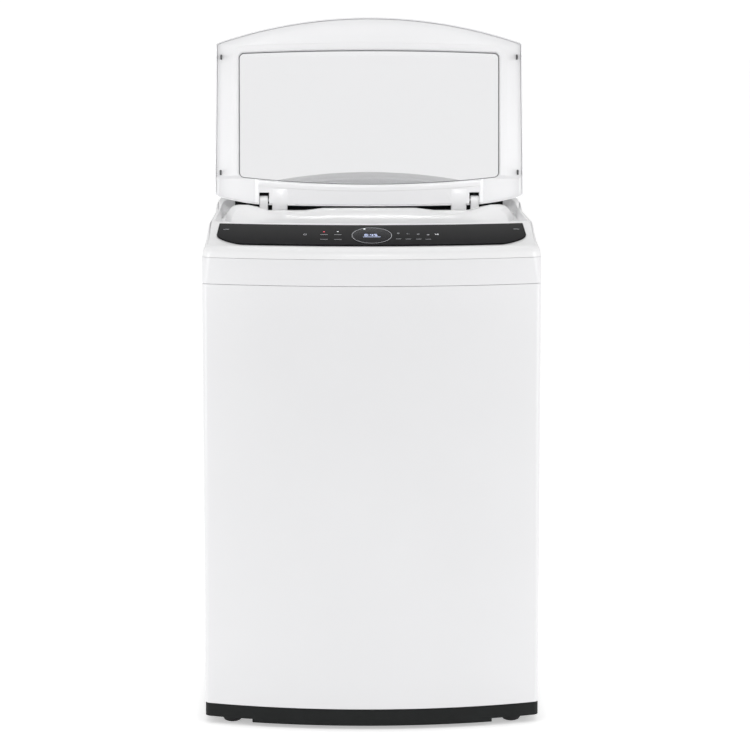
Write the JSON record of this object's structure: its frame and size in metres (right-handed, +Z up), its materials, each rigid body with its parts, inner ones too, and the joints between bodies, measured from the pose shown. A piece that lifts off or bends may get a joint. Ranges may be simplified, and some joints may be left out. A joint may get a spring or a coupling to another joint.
{
  "type": "top load washing machine",
  "caption": "White top-load washing machine with a bowed front, dark control fascia, glass lid standing open, and a suspended tub with a direct-drive drum.",
  "frame": {"origin": "on the floor under the middle of the casing, with the machine standing on its four feet", "axes": "+Z up; +X to the right of someone who faces the machine; the front with the control fascia faces -Y and the lid hinges at the rear"},
  "size_m": [0.59, 0.606, 1.2363],
  "materials": {
    "cabinet_white": "satin enamel on sheet steel",
    "cover_white": "smooth moulded plastic",
    "lid_white": "smooth moulded plastic",
    "base_black": "fine grained moulding",
    "fascia_black": "gloss panel",
    "display_dark": "clear gloss over black",
    "glass_grey": "clear toughened glass",
    "rubber_dark": "moulded rubber",
    "drum_steel": "bright rolled stainless",
    "shaft_steel": "turned steel",
    "zinc_steel": "galvanised sheet",
    "tub_grey": "moulded polypropylene",
    "ring_white": "moulded polypropylene",
    "pulsator_grey": "moulded polypropylene",
    "aluminium": "die cast",
    "copper_coil": "lacquered copper windings on a laminated core",
    "valve_blue": "moulded",
    "valve_red": "moulded",
    "hose_grey": "flexible moulding",
    "board_green": "potted circuit board",
    "filter_blue": "moulded frame with mesh"
  },
  "bodies": {
    "cabinet": {"cabinet_shell": "cabinet_white", "rear_panel": "zinc_steel", "base_frame": "base_black", "rear_left_foot": "rubber_dark", "rear_right_foot": "rubber_dark", "collar_band": "cover_white", "top_cover": "cover_white", "control_fascia": "fascia_black", "display_window": "display_dark", "control_board": "board_green", "inlet_bay": "tub_grey", "hot_inlet_valve": "valve_red", "cold_inlet_valve": "valve_blue", "power_cord_gland": "rubber_dark", "drain_outlet": "hose_grey", "drawer_housing": "tub_grey", "lid_lock": "tub_grey", "hinge_post_left": "cover_white", "hinge_post_right": "cover_white", "suspension_rod_front_left": "shaft_steel", "suspension_rod_front_right": "shaft_steel", "suspension_rod_rear_left": "shaft_steel", "suspension_rod_rear_right": "shaft_steel", "suspension_spring_front_left": "zinc_steel", "suspension_spring_front_right": "zinc_steel", "suspension_spring_rear_left": "zinc_steel", "suspension_spring_rear_right": "zinc_steel", "drain_hose": "hose_grey"},
    "front_left_levelling_foot": {"front_left_foot": "rubber_dark"},
    "front_right_levelling_foot": {"front_right_foot": "rubber_dark"},
    "lid": {"lid_outer": "lid_white", "lid_inner": "lid_white", "lid_glass": "glass_grey", "hinge_pin_left": "shaft_steel", "hinge_pin_right": "shaft_steel", "lid_bumper_front_left": "rubber_dark", "lid_bumper_front_right": "rubber_dark", "lid_bumper_rear_left": "rubber_dark", "lid_bumper_rear_right": "rubber_dark"},
    "drawer": {"detergent_drawer": "ring_white"},
    "tub": {"outer_tub": "tub_grey", "tub_ring": "ring_white", "tub_bracket": "zinc_steel", "bearing_housing": "aluminium", "upper_bearing": "shaft_steel", "lower_bearing": "shaft_steel", "water_seal": "rubber_dark", "motor_stator": "copper_coil", "drain_pump": "tub_grey"},
    "drum": {"wash_drum": "drum_steel", "balance_ring": "ring_white", "drum_hub": "aluminium", "spin_shaft": "shaft_steel", "lint_filter_left": "filter_blue", "lint_filter_right": "filter_blue"},
    "pulsator": {"pulsator": "pulsator_grey", "pulsator_bolt": "shaft_steel", "pulsator_shaft": "shaft_steel", "motor_rotor": "zinc_steel"},
    "clutch": {"clutch_coupler": "shaft_steel"}
  },
  "joints": [
    {"name": "lid_hinge", "type": "hinge", "parent": "cabinet", "child": "lid", "pos_m": [0, 0.1585, 0.8965], "axis": [1, 0, 0], "range_deg": [0, 95]},
    {"name": "tub_drop", "type": "slide", "parent": "cabinet", "child": "tub", "axis": [0, 0, 1], "range_m": [-0.025, 0], "stiffness_N_per_m": 20000, "springref_m": 0.0187, "deforming": ["suspension_spring_front_left", "suspension_spring_front_right", "suspension_spring_rear_left", "suspension_spring_rear_right", "drain_hose"]},
    {"name": "drum_spin", "type": "hinge", "parent": "tub", "child": "drum", "pos_m": [0, 0, 0.2], "axis": [0, 0, 1], "continuous": true},
    {"name": "pulsator_spin", "type": "hinge", "parent": "drum", "child": "pulsator", "pos_m": [0, 0, 0.2], "axis": [0, 0, 1], "continuous": true},
    {"name": "clutch_slide", "type": "slide", "parent": "drum", "child": "clutch", "axis": [0, 0, 1], "range_m": [0, 0.006], "stiffness_N_per_m": 400, "springref_m": -0.004},
    {"name": "drawer_slide", "type": "slide", "parent": "cabinet", "child": "drawer", "axis": [0, -1, 0], "range_m": [0, 0.14]},
    {"name": "front_left_foot_turn", "type": "hinge", "parent": "cabinet", "child": "front_left_levelling_foot", "pos_m": [-0.247, -0.232, 0], "axis": [0, 0, 1], "range_deg": [-180, 180]},
    {"name": "front_right_foot_turn", "type": "hinge", "parent": "cabinet", "child": "front_right_levelling_foot", "pos_m": [0.247, -0.232, 0], "axis": [0, 0, 1], "range_deg": [-180, 180]}
  ]
}
